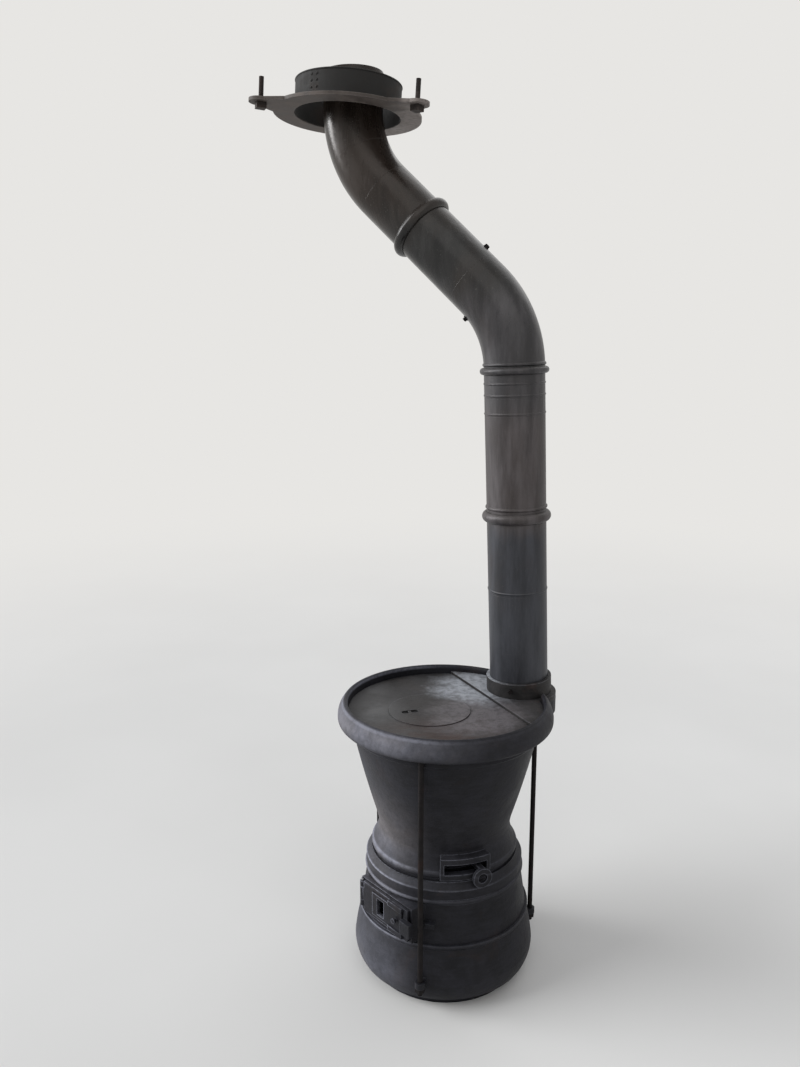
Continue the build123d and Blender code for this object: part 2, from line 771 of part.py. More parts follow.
def straight_length(start, end, crimped, beads):
    """One straight length of pipe; beads are (distance from the start, out, half width)."""
    direction = (end - start).normalized()
    trims = [rolled_bead(start + direction * at, direction, out, half) for at, out, half in beads]
    if crimped:
        trims.append(crimped_end(start, direction))
    with BuildPart() as length:
        with BuildSketch(axis_plane(start, direction)):
            Polygon(
                [
                    (pipe_in, 0),
                    (pipe_r, 0),
                    (pipe_r, (end - start).length),
                    (pipe_in, (end - start).length),
                ]
            )
        revolve(axis=Axis(start, direction))
        if trims:
            add(trims)
    return length


riser_start = collar_foot + riser_dir * 6
lengths = [
    # name, start, end, crimped lower end, beads
    ("pipe_lower", riser_start, on_riser(joint_z_1), False, []),
    ("pipe_middle", on_riser(joint_z_1), on_riser(joint_z_2), True, [(8, 1.5, 3.0)]),
    (
        "pipe_upper",
        on_riser(joint_z_2),
        on_riser(joint_z_3),
        True,
        [(bell_half, bell_out, bell_half), (2 * bell_half + 10, bead_small, bead_small_half)],
    ),
    ("pipe_adapter", on_riser(joint_z_3), on_riser(joint_z_4), True, [(5, 1.5, 3.0)]),
]
pipes = {}
for name, start, end, crimped, beads in lengths:
    pipes[name] = straight_length(start, end, crimped, beads)
    pipes[name].part.label = name

# Elbow foot, lower elbow and the oblique length with the big bead at its end
low_from = low_corner - riser_dir * low_tangent
low_to = low_corner + oblique * low_tangent
low_start = low_from - riser_dir * foot_low
low_end = low_to + oblique * elbow_end
foot_start = on_riser(joint_z_4)
foot_beads = [
    (6, 1.5, 3.0),
    ((low_start - foot_start).length - 22, 1.5, 3.0),
]
pipes["elbow_foot"] = straight_length(foot_start, low_start, True, foot_beads)
pipes["elbow_foot"].part.label = "elbow_foot"

low_trims = [
    crimped_end(low_start, riser_dir),
    rolled_bead(
        low_start + riser_dir * (collar_half + face_gap), riser_dir, collar_out, collar_half
    ),
    rolled_bead(low_start + riser_dir * (collar_half + 16), riser_dir, bead_small, bead_small_half),
]
with BuildPart() as lower_elbow:
    with BuildLine() as low_path:
        Line(low_start, low_from)
        TangentArc(low_from, low_to, tangent=riser_dir)
        Line(low_to, low_end)
    with BuildSketch(Plane(origin=low_start, z_dir=riser_dir)):
        Circle(pipe_r)
        Circle(pipe_in, mode=Mode.SUBTRACT)
    sweep(path=low_path.wire())
    add(low_trims)
lower_elbow.part.label = "lower_elbow"

pipes["oblique_pipe"] = straight_length(low_end, oblique_point, True, [])
pipes["oblique_pipe"].part.label = "oblique_pipe"

# Half-round band over the top end of the oblique length
band_at = oblique_point - oblique * bell_half
with BuildPart() as oblique_band:
    with BuildSketch(axis_plane(band_at, oblique)):
        with BuildLine():
            Line((pipe_r + face_gap, -bell_half), (pipe_r + face_gap, bell_half))
            ThreePointArc(
                (pipe_r + face_gap, bell_half), (pipe_r + bell_out, 0), (pipe_r + face_gap, -bell_half)
            )
        make_face()
    revolve(axis=Axis(band_at, oblique))
oblique_band.part.label = "oblique_band"

# Above the big bead: a short oblique length, the upper elbow's two gores and the outlet
high_from = high_corner - oblique * high_tangent
high_to = high_corner + up * high_tangent
high_start = high_from - oblique * foot_short
high_side = (up - oblique * oblique.dot(up)).normalized()
half_turn = high_angle / 2
seam_at = (
    high_from + oblique * (bend_r * sin(half_turn)) + high_side * (bend_r * (1 - cos(half_turn)))
)
seam_dir = oblique * cos(half_turn) + high_side * sin(half_turn)
elbow_top = high_to + up * elbow_end
outlet_top = elbow_top + up * outlet_h
pipes["oblique_end"] = straight_length(oblique_point, high_start, True, [])
pipes["oblique_end"].part.label = "oblique_end"

high_trim = crimped_end(high_start, oblique)
with BuildPart() as upper_elbow:
    with BuildLine() as high_path:
        Line(high_start, high_from)
        TangentArc(high_from, seam_at, tangent=oblique)
    with BuildSketch(Plane(origin=high_start, z_dir=oblique)):
        Circle(pipe_r)
        Circle(pipe_in, mode=Mode.SUBTRACT)
    sweep(path=high_path.wire())
    add(high_trim)
upper_elbow.part.label = "upper_elbow"

with BuildPart() as elbow_head:
    with BuildLine() as head_path:
        TangentArc(seam_at, high_to, tangent=seam_dir)
        Line(high_to, elbow_top)
    with BuildSketch(Plane(origin=seam_at, z_dir=seam_dir)):
        Circle(pipe_r)
        Circle(pipe_in, mode=Mode.SUBTRACT)
    sweep(path=head_path.wire())
elbow_head.part.label = "elbow_head"

top_trim = crimped_end(elbow_top, up)
with BuildPart() as pipe_top:
    with BuildSketch(axis_plane(elbow_top, up)):
        Polygon(
            [
                (pipe_in, 0),
                (pipe_r, 0),
                (pipe_r, outlet_h - socket_h - 3),
                (socket_r + pipe_t, outlet_h - socket_h),
                (socket_r + pipe_t, outlet_h),
                (socket_r, outlet_h),
                (socket_r, outlet_h - socket_h),
                (pipe_in, outlet_h - socket_h - 3),
            ]
        )
    revolve(axis=Axis(elbow_top, up))
    add(top_trim)
pipe_top.part.label = "pipe_top"

# Ceiling ring with three ears, square-headed bolts, the roof sleeve and its spider
ring_origin = high_corner + Vector(ring_dx, ring_dy, ring_rise)
ring_plane = Plane(origin=ring_origin, x_dir=(1, 0, -ring_slope), z_dir=(ring_slope, 0, 1))
ear_azimuths = [185.0, 305.0, 65.0]
with BuildPart() as ceiling_ring:
    with BuildSketch(ring_plane) as ring_outline:
        Circle(ring_r)
        for azimuth in ear_azimuths:
            with Locations(Rot(0, 0, azimuth)):
                Polygon(
                    [
                        (ring_hole_r + 8, -ear_root),
                        (ring_r - 8, -ear_root * 0.72),
                        (ear_circle_r, -ear_r),
                        (ear_circle_r, ear_r),
                        (ring_r - 8, ear_root * 0.72),
                        (ring_hole_r + 8, ear_root),
                    ]
                )
                with Locations((ear_circle_r, 0)):
                    Circle(ear_r)
    extrude(amount=ring_t)
    with BuildSketch(ring_plane):
        Circle(ring_hole_r)
        for azimuth in ear_azimuths:
            with Locations(Rot(0, 0, azimuth)):
                with Locations((ear_circle_r, 0)):
                    Circle(bolt_r + bolt_shoulder + face_gap)
    extrude(amount=ring_t, mode=Mode.SUBTRACT)
ceiling_ring.part.label = "ceiling_ring"

with BuildPart() as ring_bolts:
    with BuildSketch(ring_plane):
        for azimuth in ear_azimuths:
            with Locations(Rot(0, 0, azimuth)):
                with Locations((ear_circle_r, 0)):
                    Rectangle(bolt_head, bolt_head)
    extrude(amount=-bolt_head_h)
    with BuildSketch(ring_plane):
        for azimuth in ear_azimuths:
            with Locations(Rot(0, 0, azimuth)):
                with Locations((ear_circle_r, 0)):
                    Circle(bolt_r + bolt_shoulder)
    extrude(amount=ring_t + bolt_shoulder)
    with BuildSketch(ring_plane):
        for azimuth in ear_azimuths:
            with Locations(Rot(0, 0, azimuth)):
                with Locations((ear_circle_r, 0)):
                    Circle(bolt_r)
    extrude(amount=bolt_len)
ring_bolts.part.label = "ring_bolts"

sleeve_r = ring_hole_r - slide_fit
with BuildPart() as roof_sleeve:
    with BuildSketch(ring_plane.offset(2)):
        Circle(sleeve_r)
        Circle(sleeve_r - sleeve_t, mode=Mode.SUBTRACT)
    extrude(amount=sleeve_h)
    with BuildSketch(ring_plane.offset(ring_t)):
        Circle(sleeve_r + sleeve_flange)
        Circle(sleeve_r - sleeve_t, mode=Mode.SUBTRACT)
    extrude(amount=sleeve_t)
roof_sleeve.part.label = "roof_sleeve"

spider_azimuths = [spider_az0 + 360.0 / 3 * i for i in range(3)]
with BuildPart() as sleeve_spider:
    with BuildSketch(Plane.XY.offset(ring_origin.Z + spider_rise)):
        with Locations((high_corner.X, high_corner.Y)):
            Circle(pipe_r + spider_arm_t)
        for azimuth in spider_azimuths:
            with Locations((high_corner.X, high_corner.Y)):
                with Locations(Rot(0, 0, azimuth)):
                    with Locations((ring_hole_r * 0.6, 0)):
                        Rectangle(ring_hole_r * 1.2, spider_arm_t)
        with Locations((high_corner.X, high_corner.Y)):
            Circle(pipe_r + face_gap, mode=Mode.SUBTRACT)
    extrude(amount=spider_h)
    with BuildSketch(ring_plane.offset(spider_rise - spider_h)):
        Circle(sleeve_r - sleeve_t - face_gap)
    extrude(amount=3 * spider_h, mode=Mode.INTERSECT)
sleeve_spider.part.label = "sleeve_spider"

# Tie rods from the base's lugs into the rim, with square nuts below
rod_bottom = lug_z - nut_h - face_gap - rod_tail
with BuildPart() as tie_rods:
    for rod_x, rod_y, rod_head in rods:
        with BuildSketch(Plane.XY.offset(rod_bottom)):
            with Locations((rod_x, rod_y)):
                Circle(rod_r)
        extrude(amount=rod_head + rod_seat - rod_bottom)
tie_rods.part.label = "tie_rods"

with BuildPart() as rod_nuts:
    for azimuth in rod_azimuths:
        with BuildSketch(Plane.XY.offset(lug_z - nut_h)):
            with Locations(Rot(0, 0, azimuth)):
                with Locations((rod_circle, 0)):
                    RegularPolygon(nut_r, 6, major_radius=False)
                    Circle(rod_r + pin_fit, mode=Mode.SUBTRACT)
        extrude(amount=nut_h)
rod_nuts.part.label = "rod_nuts"

finished = [
    base,
    floor_plate,
    ash_section,
    ash_door,
    door_pin,
    draft_slide,
    waist_ring,
    fire_pot,
    grate,
    top_rim,
    top_plate,
    lid,
    flue_casting,
    lower_elbow,
    oblique_band,
    upper_elbow,
    elbow_head,
    pipe_top,
    ceiling_ring,
    ring_bolts,
    roof_sleeve,
    sleeve_spider,
    tie_rods,
    rod_nuts,
]
finished += list(pipes.values())
for piece in finished:
    export_step(piece.part, "parts/" + piece.part.label + ".step")
print("hinge axis", round(pin_x, 3), round(pin_y, 3))
print("high corner", high_corner, "low corner", low_corner, "outlet", outlet_top)
print("ring origin", ring_origin, "low end", low_end, "high start", high_start)
print("slide direction", round(sin(door_a), 5), round(-cos(door_a), 5))
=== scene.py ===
import json
import math

import bmesh
import bpy
from mathutils import Matrix, Vector


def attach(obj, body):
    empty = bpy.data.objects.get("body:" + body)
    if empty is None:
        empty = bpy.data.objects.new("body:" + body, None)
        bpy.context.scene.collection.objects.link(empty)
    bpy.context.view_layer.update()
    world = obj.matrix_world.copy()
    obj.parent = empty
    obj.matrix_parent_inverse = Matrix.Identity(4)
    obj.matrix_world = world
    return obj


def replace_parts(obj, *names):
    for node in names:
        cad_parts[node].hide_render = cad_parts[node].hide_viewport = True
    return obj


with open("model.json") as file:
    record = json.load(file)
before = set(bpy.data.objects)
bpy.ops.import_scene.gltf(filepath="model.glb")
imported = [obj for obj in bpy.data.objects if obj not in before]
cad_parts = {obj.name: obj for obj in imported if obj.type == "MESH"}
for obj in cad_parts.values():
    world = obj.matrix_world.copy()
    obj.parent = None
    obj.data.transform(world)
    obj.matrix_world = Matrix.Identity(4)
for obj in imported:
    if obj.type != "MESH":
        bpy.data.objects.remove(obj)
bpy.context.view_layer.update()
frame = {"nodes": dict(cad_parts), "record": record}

# The coal stove and its smoke pipe. Metres, in the part's own frame: the origin is on the floor on the
# stove's axis, +Z is up, +X is towards the wall behind the stove, -X is the aisle.
NODES = frame["nodes"]
SCENE = bpy.context.scene
TURN = 2 * math.pi

# ---------------------------------------------------------------- lines of the pipe, as in the part's source
LEAN = 0.042
FLUE_R, FLUE_AZIMUTH, FLUE_Z = 0.232, math.radians(12.5), 0.712
LOW_CORNER_Z = 1.673
RUN = Vector((-0.3311, 0.2918, 0.412))  # from the lower bend's corner to the upper bend's
PIPE_R = 0.0762
UP = Vector((0, 0, 1))
RISER = Vector((-LEAN, 0, 1)).normalized()
COLLAR_FOOT = Vector((FLUE_R * math.cos(FLUE_AZIMUTH), FLUE_R * math.sin(FLUE_AZIMUTH), FLUE_Z))
LOW_CORNER = COLLAR_FOOT + RISER * ((LOW_CORNER_Z - FLUE_Z) / RISER.z)
HIGH_CORNER = LOW_CORNER + RUN
OBLIQUE = (HIGH_CORNER - LOW_CORNER).normalized()


def on_riser(z):
    """The point of the riser's axis at a height."""
    return COLLAR_FOOT + RISER * ((z - COLLAR_FOOT.z) / RISER.z)


# ---------------------------------------------------------------- materials
class Shader:
    """A node material, built from short calls."""

    def __init__(self, name):
        self.material = bpy.data.materials.new(name)
        self.material.use_nodes = True
        self.tree = self.material.node_tree
        self.surface = self.tree.nodes["Principled BSDF"]
        self.place = self.node("ShaderNodeTexCoord").outputs["Object"]
        split = self.node("ShaderNodeSeparateXYZ", {0: self.place})
        self.x, self.y, self.z = split.outputs

    def node(self, kind, inputs=None, **settings):
        made = self.tree.nodes.new(kind)
        for key, value in settings.items():
            setattr(made, key, value)
        for key, value in (inputs or {}).items():
            if isinstance(value, bpy.types.NodeSocket):
                self.tree.links.new(value, made.inputs[key])
            else:
                made.inputs[key].default_value = value
        return made

    def noise(self, scale, detail, rough, stretch=(1, 1, 1), twist=0.0):
        place = self.node("ShaderNodeMapping", {"Vector": self.place, "Scale": stretch}).outputs[0]
        inputs = {"Vector": place, "Scale": scale, "Detail": detail, "Roughness": rough, "Distortion": twist}
        return self.node("ShaderNodeTexNoise", inputs).outputs[0]

    def span(self, value, low, high, to_low=0.0, to_high=1.0):
        """Takes low..high smoothly to to_low..to_high, and holds the ends."""
        made = self.node(
            "ShaderNodeMapRange",
            {"Value": value, "From Min": low, "From Max": high, "To Min": to_low, "To Max": to_high},
            interpolation_type="SMOOTHSTEP",
        )
        return made.outputs[0]

    def calc(self, operation, first, second=0.5):
        return self.node("ShaderNodeMath", {0: first, 1: second}, operation=operation).outputs[0]

    def sum(self, *values):
        total = values[0]
        for value in values[1:]:
            total = self.calc("ADD", total, value)
        return total

    def times(self, *values):
        total = values[0]
        for value in values[1:]:
            total = self.calc("MULTIPLY", total, value)
        return total

    def less(self, value):
        """What a value lacks to 1."""
        return self.sum(1.0, self.times(value, -1.0))

    def sway(self, noise, reach):
        """A noise's swing about its middle, scaled."""
        return self.times(self.sum(noise, -0.5), reach)

    def clamp(self, value):
        return self.node("ShaderNodeClamp", {"Value": value}).outputs[0]

    def mix(self, factor, first, second):
        made = self.node("ShaderNodeMix", {0: factor}, data_type="RGBA")
        for index, value in ((6, first), (7, second)):
            if isinstance(value, bpy.types.NodeSocket):
                self.tree.links.new(value, made.inputs[index])
            else:
                made.inputs[index].default_value = (*value, 1)
        return made.outputs[2]

    def levels(self, value, stops):
        """A curve through (position, level) stops, with positions from 0 to 1."""
        made = self.node("ShaderNodeValToRGB", {"Fac": value})
        ramp = made.color_ramp
        for element, (position, level) in zip(ramp.elements, (stops[0], stops[-1])):
            element.position, element.color = position, (level, level, level, 1)
        for position, level in stops[1:-1]:
            ramp.elements.new(position).color = (level, level, level, 1)
        return made.outputs[0]

    def away(self, place):
        """Distance from a place."""
        made = self.node("ShaderNodeVectorMath", {0: self.place, 1: place}, operation="DISTANCE")
        return made.outputs["Value"]

    def facing_up(self, low, high):
        normal = self.node("ShaderNodeNewGeometry").outputs["Normal"]
        return self.span(self.node("ShaderNodeSeparateXYZ", {0: normal}).outputs[2], low, high)

    def rounded(self, radius):
        """A normal that rounds sharp edges off."""
        return self.node("ShaderNodeBevel", {"Radius": radius}, samples=6).outputs[0]

    def edges(self, radius, low=0.02, high=0.22):
        """1 along edges within a radius, 0 on open surfaces."""
        rounded = self.rounded(radius)
        normal = self.node("ShaderNodeNewGeometry").outputs["Normal"]
        dot = self.node("ShaderNodeVectorMath", {0: rounded, 1: normal}, operation="DOT_PRODUCT")
        return self.span(dot.outputs["Value"], 1 - low, 1 - high)

    def corners(self, distance):
        """1 in the open, falling towards 0 in tight corners."""
        return self.node("ShaderNodeAmbientOcclusion", {"Distance": distance}, samples=6).outputs["AO"]

    def bump(self, *heights, first):
        """Bumps on a first normal; each height is (value, distance in metres)."""
        normal = first
        for value, distance in heights:
            inputs = {"Height": value, "Strength": 1.0, "Distance": distance, "Normal": normal}
            normal = self.node("ShaderNodeBump", inputs).outputs[0]
        self.tree.links.new(normal, self.surface.inputs["Normal"])

    def finish(self, color, roughness, metallic=0.0, specular=0.5):
        self.tree.links.new(color, self.surface.inputs["Base Color"])
        self.tree.links.new(roughness, self.surface.inputs["Roughness"])
        self.surface.inputs["Metallic"].default_value = metallic
        self.surface.inputs["Specular IOR Level"].default_value = specular
        return self.material


# The aisle's side is where the window light falls: the dust film kept to that side also paints its light,
# and the far side stays dark as painted shade.
FROM_AISLE = (0.96, -0.28)  # the flat direction that turns away from the castings' dusty side
DUST_AND_LIGHT_TOP = 0.77  # height at which the film's curve ends
# The rim's film is dust with a painted sheen of the window light on its rolled edge.
RIM_Z = (0.660, 0.668)  # the rim begins between these heights
RIM_FACE = (0.2560, 0.2635)  # and keeps dust only outside these radii
# The pale lines on the beads are rubbing and painted highlights.
TICK_HALF = 0.0026  # half the height of a rubbed line
WARM_LOW, WARM_HIGH = (0.375, 0.41), (0.56, 0.50)  # where heat has tanned the dust of the neck


def by_height(*stops):
    return [(z / DUST_AND_LIGHT_TOP, level) for z, level in stops]


def ticks(*places):
    """Narrow lines at these heights."""
    stops = [(0.0, 0.0)]
    for z in places:
        stops += by_height((z - TICK_HALF, 0.0), (z, 1.0), (z + TICK_HALF, 0.0))
    return stops + [(1.0, 0.0)]


def casting(name, dark, mid, dust, tan, rust, dust_and_light_stops, lines=(), dust_up=0.5, side_on=1.0, handled=()):
    """Stove black on cast iron with a dust film, which also paints the window's light on the aisle side.

    dust_and_light_stops give the film's level over the height, painted light included, and lines the beads
    that are painted pale, rubbed and highlit. dust_up is the dust on what faces up, side_on how much the
    film and its painted light keep to the aisle's side. handled lists (place, reach, level) of the fittings
    whose edges hands have rubbed.
    """
    s = Shader(name)
    broad = s.noise(5.0, 5, 0.6, twist=0.4)
    patch = s.noise(17.0, 6, 0.65)
    brushed = s.noise(22.0, 6, 0.7, stretch=(1, 1, 5.5))
    scuff = s.noise(64.0, 5, 0.72)
    tone = s.mix(s.span(s.sum(s.times(patch, 0.6), s.times(brushed, 0.4)), 0.36, 0.66), dark, mid)
    rusty = s.times(s.span(s.noise(9.0, 8, 0.7, twist=0.8), 0.55, 0.74), 0.45)
    tone = s.mix(rusty, tone, rust)

    # How far a place is turned from the aisle's side, where the window light falls: -1 to 1
    flat = s.node("ShaderNodeCombineXYZ", {0: s.x, 1: s.y}).outputs[0]
    radius = s.node("ShaderNodeVectorMath", {0: flat}, operation="LENGTH").outputs["Value"]
    across = s.sum(s.times(s.x, FROM_AISLE[0]), s.times(s.y, FROM_AISLE[1]))
    turned = s.calc("DIVIDE", across, s.sum(radius, 0.005))
    turned = s.sum(turned, s.sway(broad, 0.55), s.sway(patch, 0.25))
    lit_low_side = s.span(turned, -0.95, -0.16, 1.0, 0.05)
    lit_rim_side = s.span(turned, -0.90, 0.42, 1.0, 0.06)
    on_rim = s.span(s.z, *RIM_Z)
    # side: the film kept to the aisle's side, which is dust and painted window light there, and painted
    # shade on the other side.
    side = s.sum(s.times(lit_low_side, s.less(on_rim)), s.times(lit_rim_side, on_rim))
    side = s.clamp(s.sum(s.times(side, side_on), 1.0 - side_on))

    # The film over the height: dust, which also paints the window's light on the aisle side and the sheen on
    # the rim's roll; and the dust that settles on what faces up
    height = s.calc("DIVIDE", s.z, DUST_AND_LIGHT_TOP)
    wavy = s.sum(height, s.sway(scuff, 0.010), s.sway(broad, 0.010))
    film = s.times(
        s.levels(wavy, dust_and_light_stops),
        side,
        s.span(broad, 0.3, 0.7, 0.7, 1.15),
        s.span(patch, 0.3, 0.7, 0.65, 1.1),
        s.span(scuff, 0.25, 0.7, 0.72, 1.12),
    )
    if lines:
        film = s.times(film, s.sum(s.times(s.span(radius, *RIM_FACE), on_rim), s.less(on_rim)))
    settled = s.times(
        s.facing_up(0.25, 0.95),
        s.span(patch, 0.3, 0.7, 0.35, 1.0),
        s.span(scuff, 0.3, 0.6, 0.5, 1.0),
        dust_up,
    )
    film = s.clamp(s.sum(film, s.times(settled, s.span(side, 0.1, 0.8, 0.25, 1.0))))
    warm = s.times(s.span(s.z, *WARM_LOW), s.span(s.z, *WARM_HIGH), 0.7)
    warm = s.clamp(s.sum(warm, s.times(s.span(broad, 0.42, 0.62), 0.5)))
    tone = s.mix(film, tone, s.mix(warm, dust, tan))

    # Worn edges and rubbed beads, pale mostly on the aisle side, so that they also paint its highlights;
    # soot with painted shade in the corners
    pale = tuple(min(1.0, c * 1.6) for c in dust)
    worn = s.times(s.edges(0.0030), s.span(scuff, 0.3, 0.6, 0.1, 0.75), s.span(side, 0.1, 0.9, 0.12, 0.9))
    tone = s.mix(worn, tone, pale)
    for place, reach, level in handled:
        touched = s.span(s.away(place), reach * 0.5, reach, level, 0.0)
        touched = s.times(touched, s.span(scuff, 0.28, 0.55, 0.25, 1.0))
        tone = s.mix(s.times(s.edges(0.0040, 0.004, 0.07), touched), tone, pale)
    # The beads' pale lines are rubbing and also painted highlights, kept to the aisle side where the window
    # light catches them.
    if lines:
        rubbed = s.times(s.levels(height, lines), s.span(side, 0.1, 0.8, 0.1, 1.0))
        rubbed = s.times(rubbed, s.span(scuff, 0.3, 0.6, 0.45, 1.0))
        tone = s.mix(rubbed, tone, tuple(c * 1.15 for c in pale))
    # Painted shade: darker in tight corners and under the rim, along with the soot there.
    soot_and_shade = s.span(s.corners(0.03), 0.75, 0.25, 0.0, 0.75)
    tone = s.mix(soot_and_shade, tone, tuple(c * 0.6 for c in dark))
    rough = s.clamp(s.sum(s.span(patch, 0.3, 0.7, 0.44, 0.58), s.times(film, 0.3), s.times(rusty, 0.3)))
    grains = (patch, 0.0012), (s.noise(120.0, 4, 0.6), 0.0008), (s.noise(420.0, 3, 0.6), 0.0004)
    s.bump(*grains, first=s.rounded(0.0022))
    s.finish(tone, rough, specular=0.15)
    return s


# (height, level) of the dust film on the castings of the body, from below. The levels also paint light: the
# window's light on the aisle side, and the sheen on the rim's rolled edge.
BASE_DUST_AND_LIGHT = [(0.000, 0.55), (0.030, 0.62), (0.070, 0.80), (0.110, 0.52), (0.155, 0.36), (0.168, 0.42)]
ASH_DUST_AND_LIGHT = [(0.173, 0.95), (0.180, 0.10), (0.262, 0.08), (0.274, 0.22), (0.284, 0.95), (0.290, 0.26)]
WAIST_DUST_AND_LIGHT = [(0.308, 0.30), (0.322, 0.38), (0.331, 0.14), (0.342, 0.42)]
POT_DUST_AND_LIGHT = [(0.351, 0.95), (0.358, 0.50), (0.385, 0.84), (0.425, 0.76), (0.480, 0.58), (0.545, 0.30)]
POT_DUST_AND_LIGHT += [(0.640, 0.14), (0.668, 0.12)]
RIM_DUST_AND_SHEEN = [(0.676, 0.30), (0.688, 0.85), (0.704, 1.10), (0.716, 0.95), (0.722, 0.80), (0.727, 0.22)]
RIM_DUST_AND_SHEEN += [(DUST_AND_LIGHT_TOP, 0.10)]
BEADS_Z = (0.1735, 0.2845, 0.3125, 0.3510, 0.7235)
HANDLED = [
    ((-0.193, -0.098, 0.228), 0.080, 0.55),  # the ash door's rails and handle
    ((-0.015, -0.212, 0.356), 0.120, 0.30),  # the shaker's slot and eye
    # The hinge's spot is rubbed and also painted pale as the glint on it.
    ((-0.230, -0.023, 0.255), 0.032, 1.0),  # the ash door's hinge
]


def stove_black():
    """The castings of the stove's body."""
    return casting(
        "stove_black",
        dark=(0.0052, 0.0052, 0.0068),
        mid=(0.0140, 0.0140, 0.0182),
        # The dust's blue tint paints the cool window light on it.
        dust=(0.160, 0.163, 0.194),
        tan=(0.172, 0.160, 0.166),
        rust=(0.026, 0.016, 0.012),
        dust_and_light_stops=by_height(*BASE_DUST_AND_LIGHT, *ASH_DUST_AND_LIGHT, *WAIST_DUST_AND_LIGHT, *POT_DUST_AND_LIGHT, *RIM_DUST_AND_SHEEN),
        lines=ticks(*BEADS_Z),
        dust_up=0.35,
        handled=HANDLED,
    ).material


def cook_top():
    """Top plate, lid and flue casting: heat stains, and ash that lies before the flue."""
    s = casting(
        "cook_top",
        dark=(0.0105, 0.0100, 0.0095),
        mid=(0.023, 0.0205, 0.0195),
        dust=(0.130, 0.130, 0.142),
        tan=(0.110, 0.094, 0.084),
        rust=(0.070, 0.036, 0.027),
        dust_and_light_stops=[(0.0, 0.12), (1.0, 0.12)],
        dust_up=0.12,
        side_on=0.0,
    )

    def spot(place, reach, noise_scale, wander, strength):
        away = s.sum(s.away(place), s.sway(s.noise(noise_scale, 7, 0.7, twist=0.6), wander))
        grainy = s.span(s.noise(48.0, 5, 0.7), 0.32, 0.6, 0.45, 1.0)
        return s.times(s.span(away, reach * 0.35, reach, strength, 0.0), grainy, s.facing_up(0.3, 0.9))

    aisle_stain = s.times(s.span(s.x, -0.07, -0.19), s.span(s.noise(7.0, 6, 0.65), 0.35, 0.6, 0.45, 1.0))
    front_stain = s.times(
        s.span(s.y, -0.02, -0.15), s.span(s.noise(8.0, 6, 0.65), 0.42, 0.6, 0.1, 0.7), s.span(s.x, 0.12, 0.0)
    )
    tone = s.surface.inputs["Base Color"].links[0].from_socket
    for factor, color in (
        (aisle_stain, (0.112, 0.111, 0.112)),
        (front_stain, (0.055, 0.033, 0.028)),
        (spot((0.055, -0.085, 0.705), 0.165, 9.0, 0.22, 0.8), (0.150, 0.138, 0.146)),
        (spot((0.120, 0.105, 0.709), 0.150, 12.0, 0.16, 0.72), (0.420, 0.440, 0.480)),
    ):
        tone = s.mix(factor, tone, color)
    s.tree.links.new(tone, s.surface.inputs["Base Color"])
    return s.material


PIPE_BANDS = [
    # heights between which the band begins, colour of its dark and of its pale streaks
    (None, (0.022, 0.0232, 0.0280), (0.048, 0.050, 0.059)),
    ((1.13, 1.20), (0.040, 0.0345, 0.0350), (0.090, 0.080, 0.082)),
    ((1.42, 1.50), (0.029, 0.0275, 0.0295), (0.064, 0.060, 0.063)),
    ((1.68, 1.80), (0.0125, 0.0123, 0.0122), (0.027, 0.0262, 0.0255)),
    ((1.86, 2.00), (0.012, 0.0083, 0.0061), (0.026, 0.0185, 0.0142)),
]


def pipe_steel():
    """Sheet steel, blued low on the riser, browned by heat above, polished at the bends."""
    s = Shader("stovepipe_steel")
    broad = s.noise(4.0, 5, 0.6, stretch=(1, 1, 0.5), twist=0.5)
    streak = s.noise(26.0, 6, 0.65, stretch=(1, 1, 0.16))
    spots = s.noise(75.0, 6, 0.7)
    level = s.sum(s.z, s.sway(broad, 0.20))
    tone = None
    for start, dark, pale in PIPE_BANDS:
        band = s.mix(s.span(streak, 0.35, 0.7), dark, pale)
        tone = s.mix(s.span(level, *start), tone, band) if start else band
    heat = s.times(s.span(broad, 0.5, 0.72), 0.45)
    worn = s.times(s.edges(0.0015), s.span(spots, 0.35, 0.65, 0.0, 0.35))
    film = s.times(s.facing_up(0.3, 1.0), s.span(spots, 0.3, 0.7, 0.15, 0.45))
    film = s.times(film, s.span(s.z, 1.50, 1.70, 1.0, 0.2))
    speck = s.span(s.noise(210.0, 2, 0.5), 0.66, 0.74, 0.0, 0.3)
    # Painted shade: darker in tight corners and joints, along with the soot there.
    soot_and_shade = s.span(s.corners(0.02), 0.75, 0.25, 0.0, 0.85)
    for factor, color in (
        (heat, (0.034, 0.024, 0.019)),
        (worn, (0.11, 0.10, 0.095)),
        (film, (0.10, 0.092, 0.086)),
        (speck, (0.09, 0.083, 0.076)),
        (soot_and_shade, (0.008, 0.0075, 0.007)),
    ):
        tone = s.mix(factor, tone, color)
    rough = s.span(s.z, 1.45, 1.75, 0.46, 0.25)
    rough = s.sum(rough, s.span(streak, 0.3, 0.7, -0.04, 0.06), s.times(film, 0.3), s.times(speck, 0.3))
    s.bump((broad, 0.004), (streak, 0.0007), (s.noise(260.0, 3, 0.6), 0.00014), first=s.rounded(0.0016))
    return s.finish(tone, s.clamp(rough), metallic=0.3, specular=0.42)


